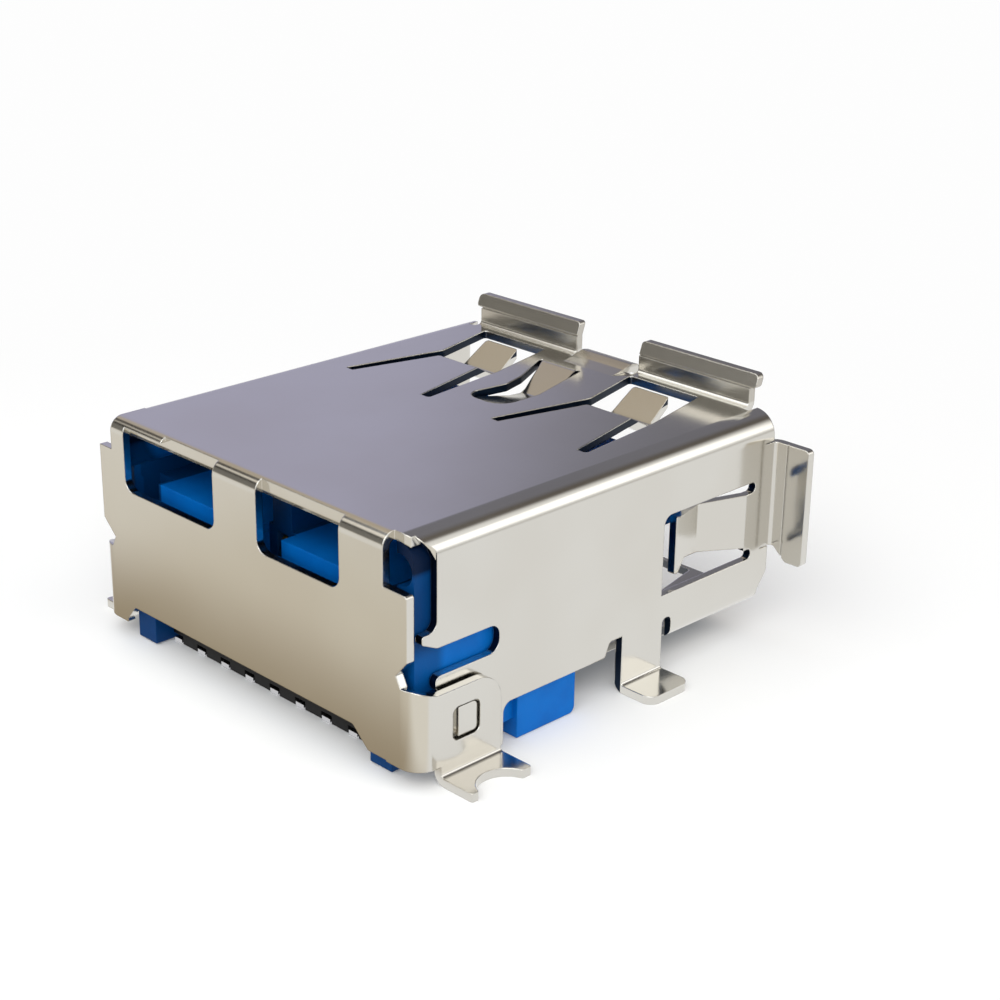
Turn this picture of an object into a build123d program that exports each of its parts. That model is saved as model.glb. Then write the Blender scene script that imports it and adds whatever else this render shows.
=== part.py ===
"""Surface-mount type-A receptacle with nine contacts, in millimetres.

The board lies in the plane z = 0 and the plug enters through the mouth, which faces -Y.
The origin is on the board, under the middle of the connector. Places are given as x, as the
distance in front of the rear face and as the depth below the top of the shell, the way a
stamping drawing gives them.
"""
import os
from build123d import *

os.makedirs("parts", exist_ok=True)

# shell: one blanked and folded sheet
sheet = 0.25
shell_width = 13.1
shell_height = 5.8
shell_length = 14.6
stand_off = 1.0
top_bend = 0.7
bottom_bend = 0.4
half_width = shell_width / 2
inner_half = half_width - sheet
rear_face = shell_length / 2
top_height = shell_height + stand_off
root_front = shell_length - 0.7
mouth_front = shell_length - 0.32

# rear plate, hung from the top by its folded strips
rear_bend = 0.42
top_edge_inset = sheet
rear_left, rear_right = half_width + 0.05, 0.05 - half_width
rear_bottom = top_height - 0.58
raised_bottom = top_height - 1.12
raised_left, raised_right = half_width - 1.25, 2.15 - half_width
raised_slant = 0.45
shoulder_left, shoulder_right = 0.95, 1.4
column_left, column_right = half_width - 0.53, 0.94 - half_width
window_1 = (1.27, column_left - 0.59)
window_2 = (column_right + 1.66, -0.58)
window_bottom = 2.05
window_corner = 0.35
strip_1_end = half_width - 2.85
strip_1_drop = 0.18
notch_top = 3.2
notch_depth = notch_top + 0.48
notch_in = half_width - 0.47
corner_start = half_width - 0.93

# tabs that wrap the side walls
fold_gap = 0.1
wrap_face = half_width + fold_gap + sheet
wrap_bend = 0.65
wrap_top = 4.2
wrap_top_rear = wrap_top - 0.2
wrap_bottom = rear_bottom + 0.04
wrap_length = 2.93
wrap_corner = 0.8
latch_start = 1.2
latch_end = latch_start + 0.97
latch_bottom = wrap_bottom - 0.58
latch_top = latch_bottom - 0.96
latch_corner = 0.2
lance_gap = 0.07

# side walls
side_rear = 0.98
side_bottom = shell_height - 0.33
nib_rear = side_rear - 0.51
nib_top = 2.62
nib_bottom = nib_top + 0.22
slot_top = nib_bottom + 0.24
slot_bottom = slot_top + 0.8
slot_end = 3.18
finger_rear = side_rear - 0.05
finger_bottom = slot_bottom + 0.44
wall_under_wrap = top_height - 0.85
lug_start, lug_end = 2.3, 3.35
lug_bottom = top_height - 0.1
front_leg = (7.97, 9.63)
relief_rear = front_leg[0] - 0.69
relief_front = front_leg[1] + 0.39
relief_top = side_bottom - 0.43
side_window_rear = shell_length - 5.05
side_slot_front = shell_length - 1.07
side_window_top = 1.9
side_spring_top = side_window_top + 0.33
side_spring_bottom = side_spring_top + 1.75
side_window_bottom = side_spring_bottom + 0.33
side_spring_root = shell_length - 1.45
side_spring_bend = shell_length - 3.0
side_spring_end = shell_length - 4.0
side_spring_push = 0.5
side_spring_curl = 0.22

# feet
pad_reach = 1.15
pad_corner = 0.35
foot_bend = 0.35
rear_leg = 0.8
foot_half = (wrap_length - rear_leg) / 2
notch_radius = foot_half - 0.245
notch_place = rear_leg + foot_half - 0.05
horn_corner = 0.08

# flanges round the mouth
top_flange_rear = shell_length - 0.4
side_flange_rear = shell_length - sheet
flange_lean = 0.15
flange_height = 0.97
flange_step = 0.55
flange_bend = 0.38
flange_corner = 0.12
crease = 0.05
top_flange_inner, top_flange_outer = 1.3, half_width - 0.75
side_flange_top, side_flange_bottom = 0.87, shell_height - 1.3
side_flange_reach = 1.2
side_flange_step = half_width + 0.45
lip_half_width = 1.03
lip_rise = 0.2
bottom_plate_rear = shell_length - 8.1

# contact springs cut out of the top and the bottom of the shell
spring_centre = half_width - 3.39
spring_root = shell_length - 6.7
spring_bend = shell_length - 3.75
spring_valley = shell_length - 2.6
spring_tip = shell_length - 1.4
hole_front = shell_length - 0.85
spring_drop, spring_tip_drop = 0.6, 0.05
spring_shift = 0.45
spring_half_root, spring_half_neck, spring_half_tip = 1.55, 0.83, 0.7
slit = 0.34
slit_end = 0.1

# middle finger
middle_rear = shell_length - 5.75
middle_front = shell_length - 1.65
middle_valley = shell_length - 3.5
middle_drop = 0.45
middle_tip_drop = 0.1
middle_gap = 0.12

# moulded housing
fit = 0.04
body_half = inner_half - fit
body_rear = 1.35
post_rear = rear_bend + 0.05
post_bottom = 4.4
wall_rear, wall_front = 3.0, 4.2
body_bottom = top_height - 0.55
body_corner = 0.5
pocket_inner, pocket_outer = 0.4, body_half - 0.62
corner_pocket = 0.45
corner_pocket_depth = 1.05
ledge_rear = 0.8
ledge_inner, ledge_outer = 0.62, body_half - 1.31
ledge_top = 1.93
base_front = bottom_plate_rear - 0.3
foot_clear = 0.03
side_foot_rear, side_foot_front = base_front - 2.22, base_front
side_foot_width = 1.1
side_foot_out = inner_half + 0.14
side_foot_corner = 0.2
peg_outer = half_width - 0.97
peg_rear, peg_front = 0.3, 1.6
peg_clear = 0.06
tongue_half = body_half - 0.71
tongue_thickness = 1.84
tongue_top = 0.94
tongue_tip = shell_length - 3.2
tongue_chamfer = 0.22
tongue_bottom = tongue_top + tongue_thickness

# contacts
pitch = 1.12
tail_half = 0.17
contact_sheet = 0.15
contact_bend = 0.3
tail_tip = 0.88
jog_low, jog_high = 5.0, 3.6
comb_rear = 0.9
comb_top = 3.4
comb_clear = 0.05
comb_lift = 0.02
comb_half = 4 * pitch + tail_half + comb_clear
peg_inner = comb_half + fit
ledge_bottom = comb_top - fit
slot_height = 0.26
beam_half = 0.25
beam_riser = 2.13
beam_layer = tongue_bottom - 0.08
beam_bend = 5.6
beam_bump, beam_tip = tongue_tip - 2.3, tongue_tip - 1.5
beam_bump_drop, beam_tip_drop = 0.7, 0.4
groove_front = tongue_tip - 1.2
pad_half = 0.2
pad_riser = 1.56
pad_layer = tongue_bottom - 0.5
pad_drop, pad_start, pad_end = tongue_tip - 1.9, tongue_tip - 1.5, tongue_tip - 0.4


def y_at(distance):
    """Return y at a distance in front of the rear face."""
    return rear_face - distance


def z_at(depth):
    """Return z at a depth below the top of the shell."""
    return top_height - depth


def side_points(*points):
    """Turn (distance, depth) pairs into points of the YZ plane."""
    return [(y_at(distance), z_at(depth)) for distance, depth in points]


def rear_points(*points):
    """Turn (x, depth) pairs into points of the XZ plane."""
    return [(x, z_at(depth)) for x, depth in points]


def plan_points(*points):
    """Turn (x, distance) pairs into points of the XY plane."""
    return [(x, y_at(distance)) for x, distance in points]


def side_plane(x):
    """Return the plane x = constant, which extrudes towards +X."""
    return Plane.YZ.offset(x)


def rear_plane(distance):
    """Return the plane at a distance from the rear face, which extrudes to the front."""
    return Plane.XZ.offset(-y_at(distance))


def plan_plane(depth):
    """Return the plane at a depth, which extrudes upwards."""
    return Plane.XY.offset(z_at(depth))


def prism(plane, points, amount, radius=0):
    """Extrude a closed outline, with its corners rounded where a radius is given."""
    with BuildPart(mode=Mode.PRIVATE) as block:
        with BuildSketch(plane):
            with BuildLine():
                if radius:
                    FilletPolyline(*points, radius=radius, close=True)
                else:
                    Polyline(*points, close=True)
            make_face()
        extrude(amount=amount)
    return block.part


def shaped(plane, turn, corners, amount):
    """Extrude an outline of corners, where a third value is the radius of that corner."""
    points = turn(*[corner[:2] for corner in corners])
    radii = [corner[2] if len(corner) > 2 else 0 for corner in corners]
    return prism(plane, points, amount, radii)


def folded(plane, points, radius, amount, side, thickness=sheet):
    """Extrude a strip of sheet that follows a line with rounded folds."""
    with BuildPart(mode=Mode.PRIVATE) as strip:
        with BuildSketch(plane):
            with BuildLine():
                FilletPolyline(*points, radius=radius)
                offset(amount=thickness, side=side)
            make_face()
        extrude(amount=amount)
    return strip.part


def band(x_low, x_high, near, far, high, low, radius=0):
    """Return a block between two x, two distances and two depths."""
    corners = plan_points((x_low, near), (x_high, near), (x_high, far), (x_low, far))
    return prism(plan_plane(low), corners, low - high, radius)


def both(part):
    """Return a part of the +X side and its mirror image."""
    return [part, part.mirror(Plane.YZ)]


def shell_section():
    """Extrude the rounded box section of the shell, without its folded ends."""
    with BuildPart(mode=Mode.PRIVATE) as tube:
        with BuildSketch(rear_plane(rear_bend)):
            with Locations((0, z_at(shell_height / 2))):
                Rectangle(shell_width, shell_height)
            fillet(vertices().group_by(Axis.Y)[-1], top_bend)
            fillet(vertices().group_by(Axis.Y)[0], bottom_bend)
            offset(amount=-sheet, mode=Mode.SUBTRACT)
        extrude(amount=mouth_front - rear_bend)
    return tube.part


def side_wall():
    """Return the side wall at +X with its nib, slot, finger, lug and leg reliefs."""
    floor = shell_height - bottom_bend
    leg_rear, leg_front = front_leg
    outline = [
        (side_rear, top_bend), (side_rear, nib_top, 0.3), (nib_rear, nib_top, 0.08),
        (nib_rear, nib_bottom, 0.08), (side_rear, slot_top, 0.15), (slot_end, slot_top, 0.33),
        (slot_end, slot_bottom, 0.36), (finger_rear, slot_bottom, 0.2),
        (finger_rear, finger_bottom, 0.2), (latch_start - 0.05, finger_bottom),
        (latch_start - 0.05, wall_under_wrap), (lug_start, wall_under_wrap),
        (lug_start, lug_bottom, 0.08), (lug_end, lug_bottom, 0.08), (lug_end, side_bottom, 0.3),
        (relief_rear, side_bottom, 0.12), (relief_rear + 0.16, relief_top, 0.16),
        (leg_rear, relief_top), (leg_rear, side_bottom), (leg_front, side_bottom),
        (leg_front, relief_top, 0.16), (relief_front, relief_top, 0.18), (relief_front, floor),
        (root_front, floor, 0.1), (mouth_front, side_flange_bottom + 0.43, 0.2),
        (mouth_front, side_flange_bottom - 0.36), (root_front, side_flange_bottom - 0.36),
        (root_front, side_flange_top - 0.04), (mouth_front, side_flange_top - 0.04),
        (mouth_front, top_bend)]
    return shaped(side_plane(inner_half), side_points, outline, sheet)


def side_window():
    """Return the cutter of the side window at +X, with the slots beside its spring."""
    lower_front = side_slot_front - 0.05
    outline = [
        (side_window_rear, side_window_top, 0.3), (side_slot_front, side_window_top, 0.16),
        (side_slot_front, side_spring_top, 0.16), (side_spring_root, side_spring_top),
        (side_spring_root, side_spring_bottom), (lower_front, side_spring_bottom, 0.16),
        (lower_front, side_window_bottom, 0.16), (side_window_rear, side_window_bottom)]
    return shaped(side_plane(inner_half - 0.2), side_points, outline, 1)


def side_spring():
    """Return the spring of the side wall at +X, rooted at its front end."""
    push = half_width - side_spring_push
    low = side_spring_bottom
    strip = folded(plan_plane(side_spring_bottom + 0.1),
                   plan_points((half_width, root_front), (half_width, side_spring_root),
                               (push, side_spring_bend),
                               (push + side_spring_curl, side_spring_end - 0.2)),
                   0.3, low - side_spring_top + 0.2, Side.LEFT)
    outline = [
        (root_front, side_spring_top), (side_spring_bend, side_spring_top),
        (side_spring_end, side_spring_top + 0.06), (side_spring_end - 0.2, side_spring_top, 0.05),
        (side_spring_end - 0.2, low + 0.02, 0.05), (side_spring_end, low + 0.02, 0.05),
        (side_spring_end + 0.3, low - 0.34, 0.1), (side_spring_bend + 0.4, low - 0.22),
        (root_front, low)]
    return strip & shaped(side_plane(0), side_points, outline, shell_width)


def pad_foot(start, end, depth, face):
    """Return a leg that runs down at a face and folds out into a pad."""
    return folded(rear_plane(start), rear_points((face - sheet, depth), (face - sheet, top_height),
                                                 (face + pad_reach, top_height)),
                  foot_bend, end - start, Side.LEFT)


def front_foot():
    """Return the front foot at +X, with round corners."""
    with BuildPart(mode=Mode.PRIVATE) as foot:
        add(pad_foot(front_leg[0], front_leg[1], relief_top - 0.2, half_width))
        fillet(edges().filter_by(Axis.Z).group_by(Axis.X)[-1], pad_corner)
    return foot.part


def rear_foot():
    """Return the rear foot at +X, with the solder notch between its horns."""
    with BuildPart(mode=Mode.PRIVATE) as foot:
        add(pad_foot(rear_leg, wrap_length, wrap_bottom - 0.4, wrap_face))
        with Locations((wrap_face + pad_reach + 0.24, y_at(notch_place), 0)):
            Cylinder(notch_radius, 2, mode=Mode.SUBTRACT)
        fillet(edges().filter_by(Axis.Z).group_by(Axis.X)[-1], horn_corner)
    return foot.part


def wrap_tab():
    """Return the tab at +X that turns round the rear corner and lies on the side wall."""
    strip = folded(plan_plane(wrap_bottom),
                   plan_points((wrap_face - 1.2, 0), (wrap_face, 0), (wrap_face, wrap_length)),
                   wrap_bend, wrap_bottom - wrap_top_rear, Side.RIGHT)
    outline = [(-1, wrap_top_rear), (0.1, wrap_top_rear), (0.7, wrap_top, 0.3),
               (wrap_length, wrap_top, wrap_corner), (wrap_length, wrap_bottom),
               (-1, wrap_bottom)]
    window = prism(side_plane(half_width + fold_gap / 2),
                   side_points((latch_start, latch_top), (latch_end, latch_top),
                               (latch_end, latch_bottom), (latch_start, latch_bottom)),
                   1, latch_corner)
    return (strip & shaped(side_plane(0), side_points, outline, shell_width)) - window


def lance():
    """Return the tongue of the side wall that stands in the latch window."""
    rear, front = latch_start + 0.25, latch_end - lance_gap
    top, low = latch_top + lance_gap, latch_bottom - lance_gap
    plate = shaped(side_plane(half_width - 0.1), side_points,
                   [(rear, top), (front, top, 0.14), (front, low, 0.14), (rear, low)],
                   0.1 + fold_gap + sheet - 0.05)
    ridge = prism(side_plane(half_width - 0.1),
                  side_points((rear - 0.12, top), (rear, top), (rear, low), (rear - 0.12, low)),
                  0.1 + fold_gap)
    return plate + ridge


def spring_opening(centre):
    """Return the whole opening of one contact spring, with the room of the spring itself."""
    front = centre + spring_shift
    far, near = slit, 1.1 * slit
    outline = [
        (centre + spring_half_root + far, spring_root, slit_end),
        (centre + spring_half_neck + far, spring_bend + 0.45, 0.5),
        (front + spring_half_tip + 1.9 * far, hole_front, slit_end),
        (front - spring_half_tip - 1.8 * near, hole_front, slit_end),
        (centre - spring_half_neck - 1.9 * near, spring_bend + 0.2, 0.5),
        (centre - spring_half_root - near, spring_root - 0.05, slit_end)]
    return shaped(plan_plane(2 * sheet), plan_points, outline, 3 * sheet)


def contact_spring(centre):
    """Return one spring: a flat body that dips to its contact ridge and lifts at the tip."""
    front = centre + spring_shift
    strip = folded(side_plane(centre - 3),
                   side_points((spring_root - 0.4, 0), (spring_bend, 0),
                               (spring_valley, spring_drop), (spring_tip, spring_tip_drop)),
                   0.3, 6, Side.LEFT)
    outline = [
        (centre + spring_half_root, spring_root - 0.3), (centre + spring_half_root, spring_root),
        (centre + spring_half_neck, spring_bend, 0.5), (front + spring_half_tip, spring_tip, 0.1),
        (front - spring_half_tip, spring_tip, 0.1), (centre - spring_half_neck, spring_bend, 0.5),
        (centre - spring_half_root, spring_root), (centre - spring_half_root, spring_root - 0.3)]
    return strip & shaped(plan_plane(3), plan_points, outline, 4)


def middle_opening():
    """Return the cutter of the opening round the middle finger."""
    bend = middle_rear + 1.6
    outline = [
        (0.85, middle_rear, 0.5), (0.62, bend, 0.4), (0.85, bend + 0.85, 0.4),
        (1.65, middle_front, 0.1), (-0.05, middle_front, 0.1), (-0.75, bend, 0.6),
        (-0.75, middle_rear, 0.6)]
    return shaped(plan_plane(2 * sheet), plan_points, outline, 3 * sheet)


def middle_finger():
    """Return the finger rooted at the front, which dips and rises to a round tip."""
    bend = middle_rear + 1.6
    gap = middle_gap
    strip = folded(side_plane(-2), side_points((middle_front + 0.3, 0), (middle_front - 0.1, 0),
                                               (middle_valley, middle_drop),
                                               (middle_rear + gap, middle_tip_drop)),
                   0.3, 4, Side.RIGHT)
    outline = [
        (0.85 - gap, middle_rear + gap, 0.4), (0.62 - gap, bend, 0.4),
        (0.85 - gap, bend + 0.9, 0.4), (1.65 - gap, middle_front), (1.65 - gap, middle_front + 0.3),
        (gap, middle_front + 0.3), (gap, middle_front), (gap - 0.75, bend, 0.6),
        (gap - 0.75, middle_rear + gap, 0.5)]
    return strip & shaped(plan_plane(3), plan_points, outline, 4)


def top_flange():
    """Return the flange of the top edge of the mouth at +X, upright and then leaning out."""
    inner, outer = top_flange_inner, top_flange_outer
    step = top_flange_rear + sheet
    rear = top_flange_rear
    strip = folded(side_plane(inner),
                   side_points((root_front - 0.1, sheet), (step, sheet), (step, -flange_step)),
                   flange_bend, outer - inner, Side.RIGHT)
    strip += prism(side_plane(inner),
                   side_points((rear, -flange_step), (step, -flange_step),
                               (step + flange_lean, -flange_height),
                               (rear + flange_lean, -flange_height)), outer - inner)
    trim = shaped(rear_plane(root_front - 1), rear_points,
                  [(inner, 1), (inner, -flange_height, flange_corner),
                   (outer, -flange_height, 1.5 * flange_corner), (outer, -flange_step, flange_corner),
                   (outer - 0.2, -flange_step), (outer - 0.2, 1)], 2)
    line = band(inner - 1, outer + 1, rear - 1, rear + crease, -flange_step - crease / 2,
                -flange_step + crease / 2)
    return (strip & trim) - line


def side_flange():
    """Return the flange of the side edge of the mouth at +X."""
    top, low = side_flange_top, side_flange_bottom
    reach = half_width + side_flange_reach
    front = side_flange_rear + sheet
    strip = folded(plan_plane(low), plan_points((inner_half, root_front - 0.1), (inner_half, front),
                                                (reach, front)), flange_bend, low - top, Side.LEFT)
    trim = shaped(rear_plane(root_front - 1), rear_points,
                  [(inner_half - 1, top), (reach, top, 0.15), (reach, low, 0.15),
                   (reach - 0.6, low, 0.15), (half_width + 0.15, low - 0.4, 0.15),
                   (inner_half - 1, low - 0.4)], 2)
    line = band(side_flange_step - crease / 2, side_flange_step + crease / 2,
                side_flange_rear - 0.1, side_flange_rear + crease, 0, shell_height)
    return (strip & trim) - line


def mouth_lip():
    """Return the lip of the top between the flanges, which rises and curls over the mouth."""
    rear = root_front - 0.6
    return shaped(side_plane(-lip_half_width), side_points, [
        (rear, 0), (rear + 0.5, -0.45 * lip_rise, 0.5), (root_front + 0.3, -lip_rise, 0.25),
        (root_front + 0.6, 0.06 - lip_rise, 0.12), (root_front + 0.66, sheet - lip_rise + 0.1),
        (root_front + 0.5, sheet - lip_rise + 0.12), (root_front + 0.3, sheet - lip_rise, 0.1),
        (rear + 0.5, sheet - 0.45 * lip_rise, 0.5), (rear, sheet)], 2 * lip_half_width)


def rear_outline():
    """Return the outline of the flat of the rear plate, below its folds."""
    flat = wrap_face - wrap_bend
    return [
        (column_left, rear_bend), (column_left, shoulder_left), (rear_left, shoulder_left),
        (rear_left, notch_top), (notch_in, notch_depth), (flat, wrap_top_rear),
        (flat, rear_bottom), (raised_left + raised_slant, rear_bottom, 0.1),
        (raised_left, raised_bottom, 0.15), (raised_right, raised_bottom, 0.15),
        (raised_right - 1.3 * raised_slant, rear_bottom, 0.1), (-flat, rear_bottom),
        (-flat, wrap_top_rear), (-notch_in, notch_depth), (rear_right, notch_top),
        (rear_right, shoulder_right, 0.1), (column_right, shoulder_right),
        (column_right, rear_bend)]


def rear_window(limits, top):
    """Return the cutter of one window of the rear plate, open towards the top plate."""
    left, right = limits
    outline = [(left, top), (right, top), (right, window_bottom, window_corner),
               (left, window_bottom, window_corner)]
    return shaped(rear_plane(-1), rear_points, outline, 1 + top_edge_inset)


section = shell_section()
side_reach = half_width + 1
low_corner = half_width - bottom_bend - 0.25
flange_room = top_flange_outer + 0.05
lip_rear = root_front - 0.6

with BuildPart() as shell:
    # top with its side bends, side walls and bottom plate
    add(section & band(-side_reach, side_reach, 0, mouth_front, -1, top_bend))
    add(band(-flange_room, flange_room, root_front, mouth_front + 1, -1, top_bend + 0.1),
        mode=Mode.SUBTRACT)
    add(section & band(-side_reach, side_reach, relief_front, root_front,
                       shell_height - bottom_bend, shell_height + 1))
    add(band(-low_corner, low_corner, bottom_plate_rear, root_front, shell_height - sheet,
             shell_height))
    for wall in both(side_wall()):
        add(wall)
    # rear corners of the top, cut back to the side walls
    for corner in both(prism(plan_plane(top_bend), plan_points(
            (corner_start, -1), (corner_start, top_edge_inset), (half_width - 0.3, 0.55),
            (half_width - 0.05, side_rear), (side_reach, side_rear), (side_reach, -1)),
            2 * top_bend)):
        add(corner, mode=Mode.SUBTRACT)
    for corner in both(prism(side_plane(half_width - 0.42), side_points(
            (-1, -1), (0.62, -1), (0.62, 0.1), (0.86, 0.42), (side_rear, top_bend),
            (-1, top_bend)), 2)):
        add(corner, mode=Mode.SUBTRACT)
    # rear plate with its fold and windows
    add(folded(side_plane(column_right), side_points((1.2, 0), (0, 0), (0, 1)), rear_bend,
               column_left - column_right, Side.RIGHT))
    add(shaped(rear_plane(0), rear_points, rear_outline(), sheet))
    add(rear_window((window_1[0], strip_1_end), -1), mode=Mode.SUBTRACT)
    add(rear_window((window_1[0], window_1[1]), strip_1_drop), mode=Mode.SUBTRACT)
    add(rear_window(window_2, -1), mode=Mode.SUBTRACT)
    # tabs that wrap the side walls, their lances, and the feet
    for tab in both(wrap_tab()) + both(lance()) + both(rear_foot()) + both(front_foot()):
        add(tab)
    # side windows with their springs
    for window in both(side_window()):
        add(window, mode=Mode.SUBTRACT)
    for spring in both(side_spring()):
        add(spring)
    # springs of the top and the bottom
    for centre in (spring_centre, -spring_centre):
        opening = spring_opening(centre)
        spring = contact_spring(centre)
        floor_plane = Plane.XY.offset(z_at(shell_height / 2))
        add(opening, mode=Mode.SUBTRACT)
        add(spring)
        add(opening.mirror(floor_plane), mode=Mode.SUBTRACT)
        add(spring.mirror(floor_plane))
    # middle finger, rooted at the front
    add(middle_opening(), mode=Mode.SUBTRACT)
    add(middle_finger())
    # flanges and lip of the mouth
    for flange in both(top_flange()) + both(side_flange()):
        add(flange)
    add(band(-lip_half_width, lip_half_width, lip_rear, root_front + 1, -1, sheet),
        mode=Mode.SUBTRACT)
    add(mouth_lip())
shell.part.label = "shell"

strip_room = contact_sheet + fit
tail_x = [step * pitch for step in (-3, -1, 1, 3)]
beam_x = (-3.5, -1.0, 1.0, 3.5)
pad_tail_x = [step * pitch for step in (-4, -2, 0, 2, 4)]
pad_x = (-4.0, -2.0, 0.0, 2.0, 4.0)
places = [(tail, top, beam_half, beam_riser, beam_layer) for tail, top in zip(tail_x, beam_x)]
places += [(tail, top, pad_half, pad_riser, pad_layer) for tail, top in zip(pad_tail_x, pad_x)]


def riser_outline(tail, top, half_top, layer, room=0):
    """Return the outline of a contact between the board and its layer, seen from the rear."""
    low = tail_half + room
    high = half_top + room
    return rear_points((tail - low, top_height), (tail + low, top_height), (tail + low, jog_low),
                       (top + high, jog_high), (top + high, layer), (top - high, layer),
                       (top - high, jog_high), (tail - low, jog_low))


def contact_room(tail, top, half_top, riser, layer):
    """Return the channel of the housing for one contact."""
    room = prism(rear_plane(body_rear - 0.3),
                 riser_outline(tail, top, half_top, layer - contact_sheet - fit, fit),
                 riser - body_rear + 0.3 + fit)
    side = half_top + fit
    bend = band(top - side, top + side, body_rear, riser + contact_bend + fit,
                layer - strip_room, layer + contact_bend + fit)
    return room + bend


with BuildPart() as housing:
    # body across the shell, with its wall behind the plug
    with BuildSketch(rear_plane(body_rear)):
        with BuildLine():
            Polyline(*rear_points((-body_half, sheet + fit), (body_half, sheet + fit),
                                  (body_half, body_bottom), (-body_half, body_bottom)),
                     close=True)
        make_face()
        fillet(vertices().group_by(Axis.Y)[-1], body_corner)
    extrude(amount=wall_front - body_rear)
    # posts beside the rear windows
    with BuildSketch(rear_plane(post_rear)):
        with BuildLine():
            Polyline(*rear_points((-body_half, sheet + fit), (body_half, sheet + fit),
                                  (body_half, post_bottom), (-body_half, post_bottom)),
                     close=True)
        make_face()
        fillet(vertices().group_by(Axis.Y)[-1], body_corner)
    extrude(amount=body_rear - post_rear)
    add(band(-pocket_outer, pocket_outer, 0, body_rear, 0, post_bottom + 0.1), mode=Mode.SUBTRACT)
    add(band(-body_half, body_half, wall_rear, base_front, shell_height - sheet, body_bottom))
    # pockets open to the rear and the top, with a ledge across each
    for pocket in both(band(pocket_inner, pocket_outer, 0, wall_rear, 0, ledge_top)):
        add(pocket, mode=Mode.SUBTRACT)
    for ledge in both(band(ledge_inner, ledge_outer, ledge_rear, body_rear + 0.3, ledge_top,
                           ledge_bottom)):
        add(ledge)
    for pocket in (pocket_outer + 0.1, -pocket_outer - 0.1):
        with Locations((pocket, y_at(body_rear), z_at(corner_pocket_depth))):
            Cylinder(corner_pocket, 2.2, rotation=(90, 0, 0), mode=Mode.SUBTRACT)
    # feet that rest near the board
    inside = body_half - side_foot_width
    for foot in both(shaped(side_plane(inside), side_points, [
            (side_foot_rear, side_bottom + fit), (side_foot_front, side_bottom + fit),
            (side_foot_front, top_height - foot_clear, side_foot_corner),
            (side_foot_rear, top_height - foot_clear)], side_foot_out - inside)):
        add(foot)
    for peg in both(band(peg_inner, peg_outer, peg_rear, peg_front, raised_bottom - 1,
                         top_height - peg_clear)):
        add(peg)
    # tongue
    add(prism(side_plane(-tongue_half), side_points(
        (wall_front - 0.5, tongue_top), (tongue_tip - tongue_chamfer, tongue_top),
        (tongue_tip, tongue_top + tongue_chamfer), (tongue_tip, tongue_bottom - tongue_chamfer),
        (tongue_tip - tongue_chamfer, tongue_bottom), (wall_front - 0.5, tongue_bottom)),
        2 * tongue_half))
    # channels of the contacts
    for place in places:
        add(contact_room(*place), mode=Mode.SUBTRACT)
    for x in beam_x:
        add(band(x - beam_half - fit, x + beam_half + fit, beam_riser, groove_front,
                 beam_layer - strip_room, beam_layer + fit), mode=Mode.SUBTRACT)
        add(band(x - beam_half - fit, x + beam_half + fit, wall_front, groove_front,
                 beam_layer - strip_room, tongue_bottom + 1), mode=Mode.SUBTRACT)
    for x in pad_x:
        add(band(x - pad_half - fit, x + pad_half + fit, pad_riser - contact_sheet,
                 pad_start, pad_layer - strip_room, pad_layer + fit), mode=Mode.SUBTRACT)
        add(band(x - pad_half - fit, x + pad_half + fit, pad_drop - 0.2, pad_end + fit,
                 pad_layer - strip_room, tongue_bottom + 1), mode=Mode.SUBTRACT)
housing.part.label = "housing"

with BuildPart() as tail_comb:
    add(band(-comb_half, comb_half, comb_rear, body_rear, comb_top, top_height - comb_lift))
    for x in tail_x + pad_tail_x:
        add(band(x - tail_half - comb_clear, x + tail_half + comb_clear, 0, body_rear,
                 top_height - slot_height, top_height), mode=Mode.SUBTRACT)
tail_comb.part.label = "tail_comb"


def contact_shape(tail, top, half_top, riser, layer, tip_points, tip):
    """Return one contact: tail on the board, riser with its side step, and strip."""
    path = side_points((tail_tip, top_height), (riser, top_height), (riser, layer), *tip_points)
    strip = folded(side_plane(-half_width), path, contact_bend, shell_width, Side.RIGHT,
                   contact_sheet)
    mask = prism(rear_plane(0), riser_outline(tail, top, half_top, layer - contact_sheet), riser)
    mask += band(top - half_top, top + half_top, riser, tip + 1, layer - contact_sheet,
                 layer + 1.2)
    return strip & mask


beam_points = ((beam_bend, beam_layer), (beam_bump, beam_layer + beam_bump_drop),
               (beam_tip, beam_layer + beam_tip_drop))
pad_points = ((pad_drop, pad_layer), (pad_start, tongue_bottom), (pad_end, tongue_bottom))

export_step(shell.part, "parts/shell.step")
export_step(housing.part, "parts/housing.step")
export_step(tail_comb.part, "parts/tail_comb.step")

for number, place in enumerate(places, 1):
    points, tip = (beam_points, beam_tip) if number <= len(beam_x) else (pad_points, pad_end)
    with BuildPart() as contact:
        add(contact_shape(*place, points, tip))
    contact.part.label = f"contact_{number}"
    export_step(contact.part, f"parts/contact_{number}.step")
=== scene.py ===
# %% [markdown]
# # A surface-mount type-A socket
# The socket is a folded sheet-metal shell round a blue moulded housing, with a comb, drawn near
# black, that holds the contact tails apart. The CAD model already has every fold, spring and
# foot at its real size, so this file gives the pieces their finishes, stands them on a pale
# table and looks at them from behind and above.
#
# The frame is in metres, with the board plane at z = 0 and the mouth towards -Y.

# %% The frame from CAD
import math
import bpy
from mathutils import Matrix, Vector

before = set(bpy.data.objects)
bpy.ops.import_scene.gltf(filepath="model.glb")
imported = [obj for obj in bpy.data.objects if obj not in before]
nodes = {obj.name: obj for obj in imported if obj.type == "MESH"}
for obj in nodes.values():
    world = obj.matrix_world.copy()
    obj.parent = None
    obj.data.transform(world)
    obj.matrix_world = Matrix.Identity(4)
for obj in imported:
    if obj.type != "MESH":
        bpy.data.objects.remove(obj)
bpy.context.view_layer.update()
mm = 0.001
print("pieces from CAD:", ", ".join(sorted(nodes)))

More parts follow.
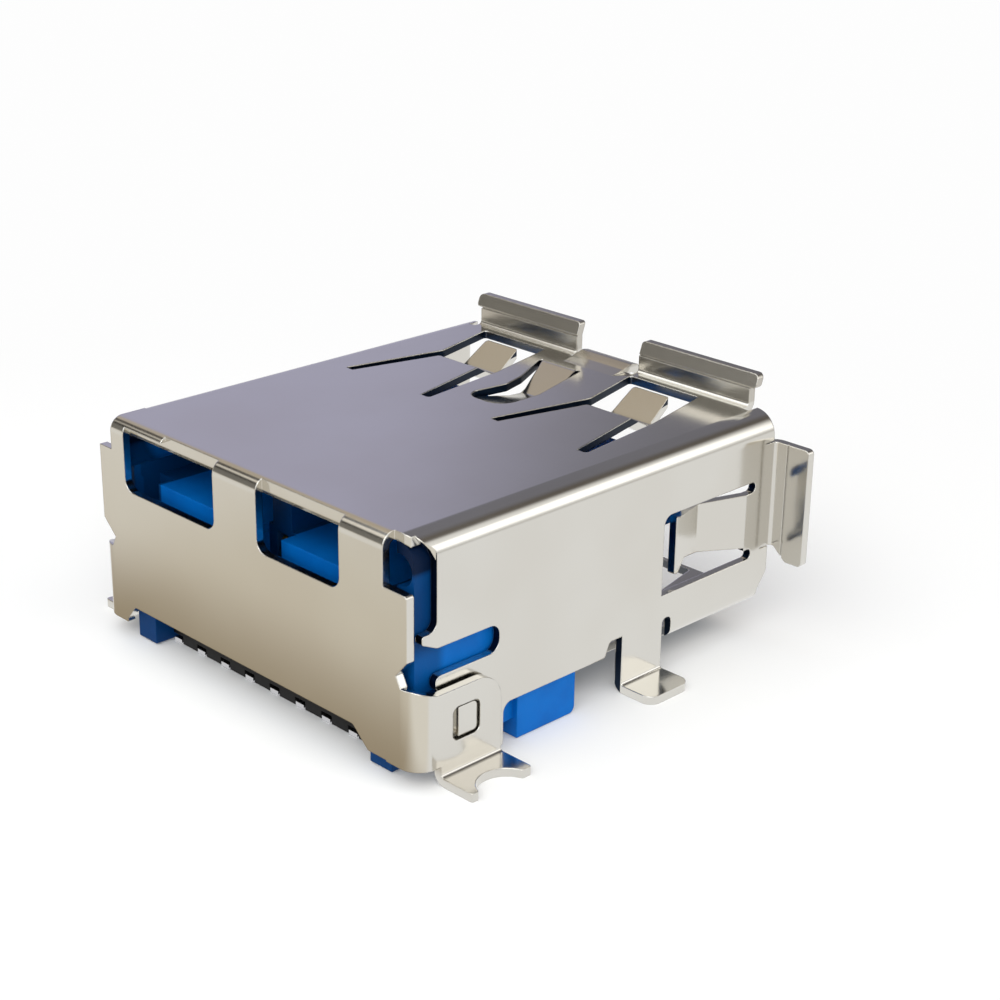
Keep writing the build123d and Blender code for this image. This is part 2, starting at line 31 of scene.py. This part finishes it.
# %% [markdown]
# ## Shader maths as plain expressions
# A material is a graph of nodes. Written by hand, each sum takes four lines, so one small class
# wraps a socket and turns `+`, `-`, `*` and `/` into Math nodes. A mask is a value between 0 and
# 1 that says where something is laid, and `ramp` makes one out of a place or a direction.

# %% Sockets that can be added and multiplied
class Value:
    """One output socket, with Python's operators turned into Math nodes."""

    def __init__(self, graph, socket):
        self.graph = graph
        self.socket = socket

    def __add__(self, other):
        return self.graph.math("ADD", self, other)

    def __sub__(self, other):
        return self.graph.math("SUBTRACT", self, other)

    def __rsub__(self, other):
        return self.graph.math("SUBTRACT", other, self)

    def __mul__(self, other):
        return self.graph.math("MULTIPLY", self, other)

    def __truediv__(self, other):
        return self.graph.math("DIVIDE", self, other)

    __radd__ = __add__
    __rmul__ = __mul__

    def size(self):
        """Leave out the sign."""
        return self.graph.math("ABSOLUTE", self)

    def larger(self, other):
        """Take the larger of two values at each point."""
        return self.graph.math("MAXIMUM", self, other)

    def clamp(self):
        """Keep the value between 0 and 1."""
        return self.graph.math("MINIMUM", self.larger(0.0), 1.0)

    def ramp(self, low, high):
        """Rise smoothly from 0 at low to 1 at high; low may be the larger one."""
        settings = {"interpolation_type": "SMOOTHSTEP"}
        return self.graph.node("ShaderNodeMapRange", settings,
                               {"Value": self, "From Min": low, "From Max": high})[0]


# %% [markdown]
# ## One method for every node
# Every node comes from `Graph.node`, which sets the node's own settings first and then its
# inputs, because a setting such as a data type can change which inputs there are. The other
# methods are short names for what the finishes use again and again.

# %% The graph of a material or a world
class Outputs:
    """The outputs of one node, by number or by name."""

    def __init__(self, graph, made):
        self.graph = graph
        self.made = made

    def __getitem__(self, name):
        return Value(self.graph, self.made.outputs[name])


class Graph:
    """The node tree of one material or world."""

    def __init__(self, tree):
        self.tree = tree
        tree.nodes.clear()

    def node(self, kind, settings=None, inputs=None):
        """Add a node; an input takes a value to link or a plain number or colour."""
        made = self.tree.nodes.new(kind)
        for name, setting in (settings or {}).items():
            setattr(made, name, setting)
        for name, given in (inputs or {}).items():
            if isinstance(given, Value):
                self.tree.links.new(given.socket, made.inputs[name])
            else:
                made.inputs[name].default_value = given
        return Outputs(self, made)

    def math(self, operation, *terms):
        """Work on terms that are values or plain numbers."""
        return self.node("ShaderNodeMath", {"operation": operation}, dict(enumerate(terms)))[0]

    def mix(self, mask, ground, patch):
        """Blend two colours: the ground where the mask is 0, the patch where it is 1."""
        return self.node("ShaderNodeMix", {"data_type": "RGBA"},
                         {0: mask, 6: ground, 7: patch})[2]

    def paint(self, ground, *patches):
        """Lay patches, each a mask and a colour, over a ground, one after another."""
        for mask, colour in patches:
            ground = self.mix(mask, ground, colour)
        return ground

    def split(self, vector):
        """Return the three parts of a vector."""
        parts = self.node("ShaderNodeSeparateXYZ", inputs={0: vector})
        return [parts[axis] for axis in range(3)]

    def place(self):
        """Return the x, y and z of the shaded point in the part's frame, in millimetres."""
        where = self.node("ShaderNodeTexCoord")["Object"]
        return [part / mm for part in self.split(where)]

    def facing(self):
        """Return the x, y and z of the way a face points, before any bump or bevel."""
        return self.split(self.node("ShaderNodeNewGeometry")["True Normal"])

    def noise(self, per_mm, detail=2.0, stretch=(1, 1, 1)):
        """Return noise with so many grains in a millimetre, fewer where stretch is small."""
        where = self.node("ShaderNodeTexCoord")["Object"]
        spread = [per_mm * factor / mm for factor in stretch]
        laid = self.node("ShaderNodeMapping", inputs={"Vector": where, "Scale": spread})[0]
        return self.node("ShaderNodeTexNoise",
                         inputs={"Vector": laid, "Scale": 1.0, "Detail": detail})[0]


# %% [markdown]
# ## Finish of one surface
# All the finishes here are a Principled shader with a colour, a roughness and a little relief.
# A Bump node turns the relief into normals. Sheared sheet and moulded edges are never knife
# sharp: the Bevel node rounds the normals across an edge, which gives the thin bright rims. Real
# geometry could give them too, but it would multiply the faces of every piece.

# %% Colours from 0 to 255
def rgb(red, green, blue):
    """Turn a colour given from 0 to 255 into the linear colour that shaders take."""
    def linear(level):
        level /= 255
        return level / 12.92 if level <= 0.04045 else ((level + 0.055) / 1.055) ** 2.4
    return (linear(red), linear(green), linear(blue), 1.0)


# %% A finish with relief and rounded edges
edge_samples = 6
metal = {"Metallic": 1.0}


def finish(name, colour, roughness, relief, relief_depth, edge_radius, fixed):
    """Return a material; colour, roughness and relief are functions of its graph."""
    material = bpy.data.materials.new(name)
    material.use_nodes = True
    graph = Graph(material.node_tree)
    rounded = graph.node("ShaderNodeBevel", {"samples": edge_samples},
                         {"Radius": edge_radius * mm})[0]
    normal = graph.node("ShaderNodeBump", inputs={
        "Strength": 1.0, "Distance": relief_depth * mm, "Height": relief(graph),
        "Normal": rounded})[0]
    inputs = {"Base Color": colour(graph), "Roughness": roughness(graph), "Normal": normal}
    surface = graph.node("ShaderNodeBsdfPrincipled", inputs={**inputs, **fixed})[0]
    graph.node("ShaderNodeOutputMaterial", inputs={"Surface": surface})
    return material


def dress(names, material):
    """Give the named CAD nodes one material."""
    for name in names:
        slots = nodes[name].material_slots
        for slot in slots:
            slot.material = material
        if not slots:
            nodes[name].data.materials.append(material)
    print(material.name, "on", len(names), "nodes")


# %% [markdown]
# ## Cut walls and worked flanges
# Two kinds of place on the plate look unlike the rest. The sheared walls of the slots and of the
# side walls' rear ends would mirror the dark inside of the socket, and that is a painted
# reflection: a dark blue-grey laid into their colour. The flanges over the mouth are duller
# where the tool has bent them. A material of their own would need cuts in the mesh. A mask by
# place
# leaves the CAD mesh whole: each is a box with faded sides, and the cut walls are told from the
# flat faces beside them by the way they point.

# %% Masks on the plate
sheet = 0.25
shell_top, shell_side = 6.8, 6.55
slots_front, slots_rear, slots_side = -6.5, -0.2, 5.48
side_rear = 7.0
edge_fade = 0.02


def cut_walls(graph):
    """Find the walls with a painted dark reflection: the top's slots, the side walls' rear ends.
    """
    x, y, z = graph.place()
    sideways, rearward, upward = graph.facing()
    across = x.size()
    by_slots = (across.ramp(slots_side, slots_side - 0.09) * y.ramp(slots_rear, slots_rear - 0.2)
                * y.ramp(slots_front, slots_front + 0.1))
    top_inside = shell_top - sheet
    in_top = (z.ramp(top_inside - edge_fade, top_inside)
              * z.ramp(shell_top - edge_fade, shell_top - 2 * edge_fade))
    side_inside = shell_side - sheet + edge_fade / 2
    in_side = (across.ramp(side_inside, side_inside + edge_fade)
               * across.ramp(shell_side - edge_fade / 2, shell_side - edge_fade)
               * y.ramp(side_rear, side_rear - 0.1))
    slots = by_slots * in_top * upward.size().ramp(0.32, 0.22)
    rear_ends = in_side * rearward.ramp(0.2, 0.5) * sideways.size().ramp(0.32, 0.22)
    return (slots + rear_ends).clamp()


def flanges(graph):
    """Find the two flanges that stand above the top."""
    return graph.place()[2].ramp(shell_top + 0.05, shell_top + 0.15)


# %% [markdown]
# ## Plated sheet
# The shell is stamped from thin strip and plated bright. It keeps faint rolling lines along the
# strip and shallow clouds in the plating, and it mirrors its surroundings softly. A picture of
# scratched metal could be laid on it, but noise needs no file and stays sharp close up. The
# lines are noise stretched fifty times along one axis.

# %% Shell metal
bright_plate = rgb(219, 217, 211)
warm_plate = rgb(215, 212, 205)
worked_plate = rgb(196, 192, 184)
painted_dark_reflection = rgb(20, 34, 52)
along_strip, along_fold = (1, 0.02, 1), (0.02, 1, 1)


def plate_colour(graph):
    clouds = graph.noise(per_mm=0.25).ramp(0.3, 0.7)
    # The cut walls get a painted reflection of the socket's dark inside.
    return graph.paint(bright_plate, (clouds, warm_plate), (flanges(graph), worked_plate),
                       (cut_walls(graph), painted_dark_reflection))


def plate_roughness(graph):
    clouds = graph.noise(per_mm=0.4, detail=3.0)
    lines = graph.noise(per_mm=9.0, stretch=along_strip)
    polish = 0.10 + 0.05 * clouds + 0.05 * lines
    return polish + 0.3 * cut_walls(graph) + 0.10 * flanges(graph)


def plate_relief(graph):
    lines = graph.noise(per_mm=12.0, stretch=along_strip)
    folded = graph.noise(per_mm=6.0, stretch=along_fold)
    swells = graph.noise(per_mm=0.25, detail=1.0)
    worked = flanges(graph)
    return 0.08 * lines * (1 - worked) + 0.8 * folded * worked + swells


shell_metal = finish("shell_metal", plate_colour, plate_roughness, plate_relief,
                     relief_depth=0.004, edge_radius=0.05, fixed=metal)
dress(["shell"], shell_metal)

# %% [markdown]
# ## Shade in the housing's pockets
# Behind each rear window the housing has a pocket with a ledge across it. On the real one the
# pockets are almost black round the ledges, and dark too are the space under the top, the pegs
# by the board and the corners beside the wrap tabs. The large lamps of this scene reach too
# far into them, so painted shade, a darker blue, is laid there by place. It is part of the
# plastic's colour and stays where it is when the camera moves.

# %% Masks on the housing
pocket_front, pocket_rear, pocket_side, pocket_floor = 3.5, 6.7, 5.67, 2.0
ledge_inner, ledge_outer, ledge_top = 0.55, 4.9, 5.0
ceiling = 6.1
peg_inner, peg_front, peg_top = 3.0, 4.5, 1.6
corner_inner, corner_front, corner_foot, corner_middle = 5.5, 5.7, 1.2, 3.3
pocket_dark, ceiling_dark, peg_dark = 0.8, 0.85, 0.75
corner_dark, corner_darker = 0.45, 0.25


def pocket_shade(graph):
    """Say how far each point of the housing leans towards the painted shade."""
    x, y, z = graph.place()
    across = x.size()
    from_front = y.ramp(pocket_front, pocket_front + 0.8)
    behind_window = from_front * y.ramp(pocket_rear, pocket_rear - 0.2)
    over_ledges = z.ramp(ledge_top - 0.1, ledge_top)
    off_ledges = (across.ramp(ledge_outer - 0.1, ledge_outer)
                  + across.ramp(ledge_inner + 0.08, ledge_inner)).clamp()
    off_ledges = off_ledges * z.ramp(pocket_floor, pocket_floor + 0.6)
    round_ledges = (behind_window * (over_ledges + off_ledges)).clamp()
    pockets = round_ledges * across.ramp(pocket_side + 0.06, pocket_side)
    under_top = z.ramp(ceiling - 0.5, ceiling) * from_front
    pegs = (across.ramp(peg_inner, peg_inner + 1.47) * z.ramp(peg_top, peg_top - 0.6)
            * y.ramp(peg_front, peg_front + 1.0))
    corners = (across.ramp(corner_inner, corner_inner + 0.16)
               * y.ramp(corner_front, corner_front + 0.4)
               * z.ramp(corner_foot, corner_foot + 0.4))
    upper_half = z.ramp(corner_middle, corner_middle + 0.6)
    corner_shade = corners * (corner_dark + corner_darker * upper_half)
    shade = (pocket_dark * pockets).larger(corner_shade)
    return (shade + ceiling_dark * under_top + peg_dark * pegs).clamp()


# %% [markdown]
# ## Blue moulded plastic
# The housing is a glass-filled resin with a fine satin skin: a broad, dim highlight and a colour
# that wanders a little. Low specular and a middling roughness give that, with fine noise as
# the grain of the mould.

# %% Housing plastic
bright_blue = rgb(0, 107, 195)
deep_blue = rgb(0, 98, 183)
painted_shade_blue = rgb(0, 22, 52)
blue_skin = {"Specular IOR Level": 0.12}


def blue_colour(graph):
    clouds = graph.noise(per_mm=0.8, detail=4.0).ramp(0.3, 0.7)
    # Painted shade: the pockets, the space under the top, the pegs and the corners lean to a
    # dark blue.
    return graph.paint(bright_blue, (clouds, deep_blue), (pocket_shade(graph), painted_shade_blue))


def blue_roughness(graph):
    return 0.42 + 0.12 * graph.noise(per_mm=6.0, detail=3.0)


def skin_relief(graph):
    return graph.noise(per_mm=16.0, detail=3.0)


blue_plastic = finish("blue_plastic", blue_colour, blue_roughness, skin_relief,
                      relief_depth=0.003, edge_radius=0.04, fixed=blue_skin)
dress(["housing"], blue_plastic)

# %% [markdown]
# ## Black comb
# The comb that holds the contact tails apart is moulded from the same kind of resin and drawn
# near black. It takes the same grain, a tighter edge and a skin that shines a little more.

# %% Comb plastic
darkest_black = rgb(7, 7, 8)
greyest_black = rgb(13, 13, 14)
black_skin = {"Specular IOR Level": 0.2}


def black_colour(graph):
    return graph.mix(graph.noise(per_mm=1.5, detail=3.0), darkest_black, greyest_black)


def black_roughness(graph):
    return 0.45 + 0.15 * graph.noise(per_mm=5.0)


black_plastic = finish("black_plastic", black_colour, black_roughness, skin_relief,
                       relief_depth=0.003, edge_radius=0.03, fixed=black_skin)
dress(["tail_comb"], black_plastic)

# %% [markdown]
# ## Contacts
# The strips are tinned where they are soldered and gilded where the plug touches them. The
# change lies inside the housing, so a ramp along the height of the riser is enough.

# %% Contact metal
tin = rgb(205, 205, 208)
gilt = rgb(236, 190, 92)
tin_ends, gilt_starts = 1.4, 1.8


def contact_colour(graph):
    height = graph.place()[2]
    return graph.mix(height.ramp(tin_ends, gilt_starts), tin, gilt)


def contact_roughness(graph):
    return 0.2 + 0.12 * graph.noise(per_mm=3.0, detail=3.0)


contact_metal = finish("contact_metal", contact_colour, contact_roughness, plate_relief,
                       relief_depth=0.003, edge_radius=0.02, fixed=metal)
dress([name for name in nodes if name.startswith("contact_")], contact_metal)

# %% [markdown]
# ## Camera
# The photograph looks at the rear left corner from a little above. The camera's place was worked
# out from edges of known length. It could be turned to a target, but a roll would be lost, so
# it is written as a place in millimetres, two angles and a roll in degrees.

# %% Camera
camera_place = Vector((-39.3308, 36.7358, 25.5934)) * mm
azimuth, elevation, roll = (math.radians(angle) for angle in (225.1995, 21.7752, 0.8267))
lens, sensor = 71.49, 36.0
back = Vector((math.sin(azimuth) * math.cos(elevation),
               -math.cos(azimuth) * math.cos(elevation),
               math.sin(elevation)))
level = Vector((0, 0, 1)).cross(back).normalized()
upright = back.cross(level)
right = level * math.cos(roll) + upright * math.sin(roll)
turn = Matrix((right, back.cross(right), back)).transposed()

camera_data = bpy.data.cameras.new("camera")
camera_data.lens = lens
camera_data.sensor_width = sensor
camera_data.sensor_fit = "HORIZONTAL"
camera_data.clip_start = 1 * mm
camera = bpy.data.objects.new("camera", camera_data)
camera.matrix_world = Matrix.Translation(camera_place) @ turn.to_4x4()
bpy.context.scene.collection.objects.link(camera)
bpy.context.scene.camera = camera
print("camera", [round(part / mm, 1) for part in camera_place], "mm")

# %% [markdown]
# ## Table
# The socket stands on a plain white ground with a soft shadow. One white surface can't do it:
# bright enough for the camera, it would light the socket from all sides. So the table gives
# each kind of ray its own answer, and the Light Path node tells them apart. Light that falls on
# it finds a matt table, with a painted shadow beneath the socket: a darker matt colour there.
# The camera sees that matt table near the socket, where the shadow lies, and plain white farther
# off. The plate mirrors a painted reflection: a darker warm tint behind the socket that stands
# for its shadow, paler farther off and to the sides, a nearly white one before it and a painted
# dark shade beneath it.

# %% Table top
table_width = 600 * mm
half = table_width / 2
corners = [(-half, -half, 0), (half, -half, 0), (half, half, 0), (-half, half, 0)]
table_mesh = bpy.data.meshes.new("table")
table_mesh.from_pydata(corners, [], [(0, 1, 2, 3)])
table = bpy.data.objects.new("table", table_mesh)
bpy.context.scene.collection.objects.link(table)
print("table", round(table_width / mm), "mm wide")

# %% Table look
far_white = (0.985, 0.985, 0.985, 1)
matt_white = (0.94, 0.94, 0.94, 1)
# Painted shadow: the matt colour beneath the socket.
painted_shadow_colour = (0.34, 0.37, 0.41, 1)
# Painted reflection of the table: dark and warm close behind the socket, standing for its
# shadow.
reflected_shadow_tint = (0.42, 0.35, 0.25, 1)
warm_tint = (0.75, 0.69, 0.58, 1)
far_tint = (0.86, 0.84, 0.79, 1)
right_tint = (0.92, 0.89, 0.84, 1)
left_tint = (0.90, 0.86, 0.78, 1)
front_tint = (0.95, 0.95, 0.945, 1)
reflected_shade_beneath = (0.12, 0.13, 0.15, 1)
white_nearby = 0.12

table_look = bpy.data.materials.new("table")
table_look.use_nodes = True
graph = Graph(table_look.node_tree)
ray = graph.node("ShaderNodeLightPath")
across, along, _ = graph.place()
away = graph.math("SQRT", across * across + along * along)
farther, farthest = along.ramp(7.6, 13.0), along.ramp(12.0, 24.0)
to_right, to_left = across.ramp(7.0, 14.0) * 0.4, across.ramp(-5.5, -8.5)
before = along.ramp(7.4, 6.6)
beneath = across.size().ramp(6.0, 4.69) * along.size().ramp(6.78, 5.48)
# Painted reflection: mirrored rays see the table darker near the socket and dark beneath it.
mirrored = graph.paint(reflected_shadow_tint, (farther, warm_tint), (farthest, far_tint),
                       (to_right, right_tint), (to_left, left_tint),
                       (before, front_tint), (beneath, reflected_shade_beneath))
# Painted shadow: the matt table is darker beneath the socket.
matt_with_painted_shadow = graph.mix(beneath, matt_white, painted_shadow_colour)
matt = graph.node("ShaderNodeBsdfDiffuse", inputs={"Color": matt_with_painted_shadow})[0]
white = graph.node("ShaderNodeEmission", inputs={"Color": far_white, "Strength": 1.0})[0]
tinted = graph.node("ShaderNodeEmission", inputs={"Color": mirrored, "Strength": 1.0})[0]
whiter = white_nearby + (1 - white_nearby) * away.ramp(10.0, 34.0)
share = ray["Is Camera Ray"] * whiter
drawn = graph.node("ShaderNodeMixShader", inputs={0: share, 1: matt, 2: white})[0]
drawn = graph.node("ShaderNodeMixShader",
                   inputs={0: ray["Is Glossy Ray"], 1: drawn, 2: tinted})[0]
graph.node("ShaderNodeOutputMaterial", inputs={"Surface": drawn})
table_mesh.materials.append(table_look)
print("table look of", len(table_look.node_tree.nodes), "nodes")

# %% [markdown]
# ## Room
# Bright plate shows little of its own colour: it shows the room. A photographed room would need
# a picture file, so the room is painted by direction instead, as pale and dark areas with soft
# borders. `side`, `depth` and `height` say where a direction points, from -1 to 1. The front
# half of the room shows in the top of the shell, and the stripes of the rear half, one above
# the other, show in the bend along the rear.

# %% Colours of the room
dim_wall = (0.20, 0.198, 0.23, 1)
lilac_wall = (0.46, 0.455, 0.60, 1)
brown_wall = (0.13, 0.115, 0.10, 1)
left_light, left_low = (0.98, 0.97, 0.95, 1), (0.62, 0.61, 0.59, 1)
warm_ceiling = (0.52, 0.45, 0.35, 1)
rear_ceiling = (0.08, 0.07, 0.06, 1)
rear_light = (0.88, 0.82, 0.72, 1)
rear_black = (0.03, 0.027, 0.024, 1)
rear_grey = (0.20, 0.19, 0.17, 1)
rear_floor = (0.80, 0.76, 0.68, 1)

# %% Room by direction
world = bpy.data.worlds.new("room")
bpy.context.scene.world = world
world.use_nodes = True
graph = Graph(world.node_tree)
side, depth, height = graph.split(graph.node("ShaderNodeTexCoord")["Generated"])
far_right = side.ramp(0.60, 0.72)
leftward, far_left = side.ramp(0.1, -0.25), side.ramp(-0.28, -0.50)
overhead = height.ramp(0.50, 0.62) * depth.ramp(-0.58, -0.46)
left_wall = graph.mix(height.ramp(0.12, 0.02), left_light, left_low)
front_half = graph.paint(dim_wall, (far_right, lilac_wall), (leftward, brown_wall),
                         (far_left, left_wall), (overhead, warm_ceiling))

high_rear = depth.ramp(0.18, 0.30) * height.ramp(0.86, 0.78)
middle = height.ramp(0.58, 0.50)
lower, lowest = height.ramp(0.46, 0.38), height.ramp(0.08, 0.02)
rear_half = graph.paint(rear_ceiling, (high_rear, rear_light), (middle, rear_black),
                        (lower, rear_grey), (lowest, rear_floor))
rearward = depth.ramp(-0.04, 0.06)
walls = graph.mix(rearward, front_half, rear_half)
strength = graph.node("ShaderNodeBackground", inputs={"Color": walls, "Strength": 1.0})[0]
graph.node("ShaderNodeOutputWorld", inputs={"Surface": strength})
print("room of", len(world.node_tree.nodes), "nodes")

# %% [markdown]
# ## Lamps
# The photograph is lit by broad, soft lights, so these are area lamps. A lamp that is mirrored
# in the plate adds to the room behind it, and a small strong one would burn out a white spot.
# The two that face the top and the rear are therefore large and weak. The smaller one, on the
# mouth's side, is weaker still and adds little more than a glint.

# %% Lamps
aim = Vector((0, 0, 3))


def softbox(name, place, size, power, colour=(1, 1, 1)):
    """Hang a square soft lamp that faces the socket; sizes are in millimetres."""
    lamp = bpy.data.lights.new(name, "AREA")
    lamp.size = size * mm
    lamp.energy = power
    lamp.color = colour
    hung = bpy.data.objects.new(name, lamp)
    hung.location = Vector(place) * mm
    hung.rotation_euler = (aim - Vector(place)).to_track_quat("-Z", "Y").to_euler()
    bpy.context.scene.collection.objects.link(hung)
    print("lamp", name, size, "mm wide,", power, "W")


cool = (0.90, 0.95, 1.0)
softbox("key", (-203, -196, 106), size=110, power=0.028)
softbox("over", (-30, 120, 240), size=560, power=1.25, colour=cool)
softbox("fill", (-190, 240, 170), size=320, power=0.40)

# %% [markdown]
# ## Standard colours
# The Standard view shows a colour about as it is written.

# %% View
bpy.context.scene.view_settings.view_transform = "Standard"
